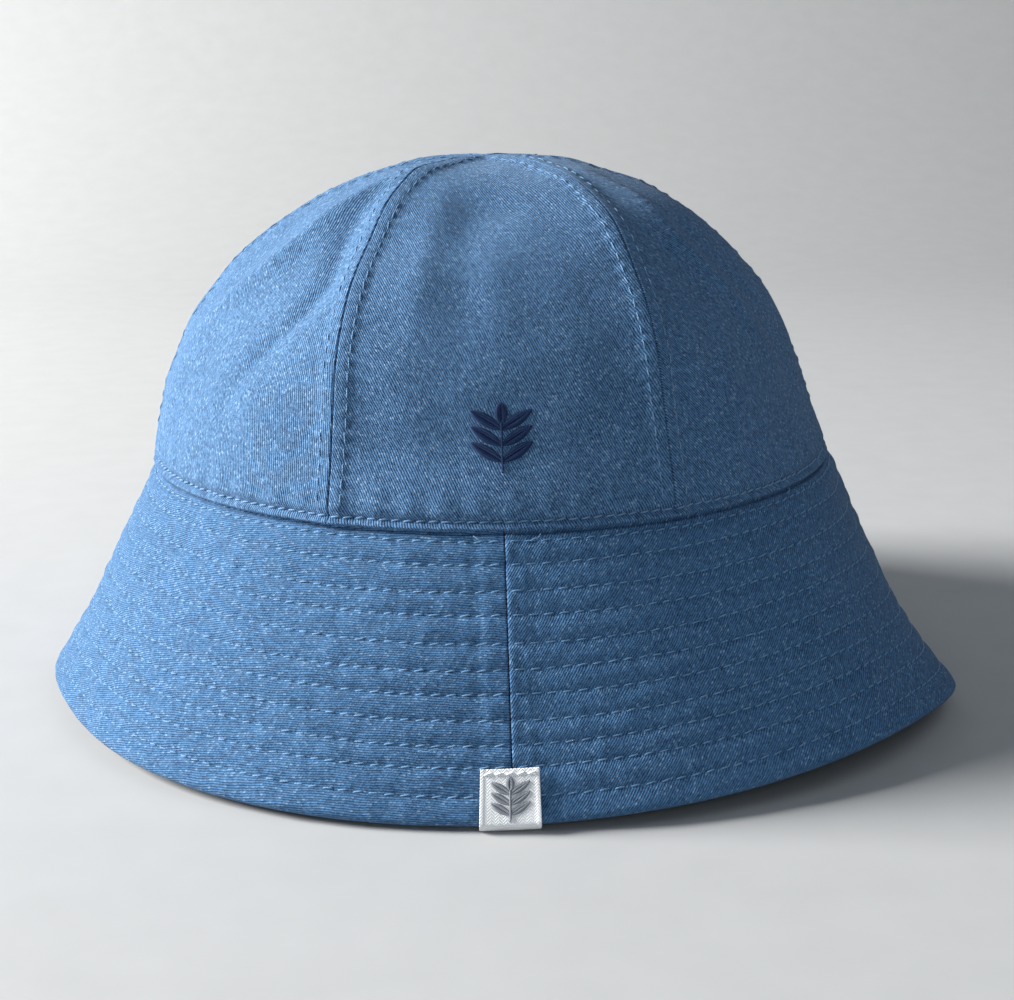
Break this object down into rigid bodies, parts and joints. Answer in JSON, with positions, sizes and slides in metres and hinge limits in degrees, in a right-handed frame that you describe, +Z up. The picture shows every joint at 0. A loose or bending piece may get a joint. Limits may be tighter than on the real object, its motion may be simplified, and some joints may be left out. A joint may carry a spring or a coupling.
{
  "type": "bucket hat",
  "caption": "Soft bucket hat with a domed panelled crown, a steep row-stitched denim brim, a sweatband and a hanging care label.",
  "frame": {"origin": "under the middle of the crown, on the surface the brim's edge stands on", "axes": "+Z up through the top of the crown; the front of the hat faces -Y; +X is to the right of a person looking at the front"},
  "size_m": [0.259, 0.259, 0.148],
  "materials": {
    "denim": "matte",
    "under_denim": "matte",
    "canvas": "matte",
    "band_cotton": "matte",
    "seam_tape": "matte",
    "pale_thread": "satin",
    "navy_thread": "satin",
    "grey_thread": "satin",
    "woven_label": "matte",
    "satin_label": "satin",
    "backing_paper": "matte"
  },
  "bodies": {
    "hat": {"crown_panel_front": "denim", "crown_panel_front_left": "denim", "crown_panel_front_right": "denim", "crown_panel_back_left": "denim", "crown_panel_back_right": "denim", "crown_panel_back": "denim", "seam_tape_side_to_side": "seam_tape", "seam_tape_front_left": "seam_tape", "seam_tape_front_right": "seam_tape", "seam_tape_back_left": "seam_tape", "seam_tape_back_right": "seam_tape", "sweatband": "band_cotton", "sweatband_interlining": "canvas", "crown_base_topstitch": "pale_thread", "brim_top_left": "denim", "brim_interlining_left": "canvas", "brim_under_left": "under_denim", "brim_top_right": "denim", "brim_interlining_right": "canvas", "brim_under_right": "under_denim", "brim_label": "woven_label", "front_embroidery": "navy_thread", "embroidery_backing": "backing_paper"},
    "care_label": {"care_label": "satin_label", "size_label": "satin_label"}
  },
  "joints": [
    {"name": "care_label_hinge", "type": "hinge", "parent": "hat", "child": "care_label", "pos_m": [0, 0.089, 0.0635], "axis": [-1, 0, 0], "range_deg": [-25, 160]}
  ]
}
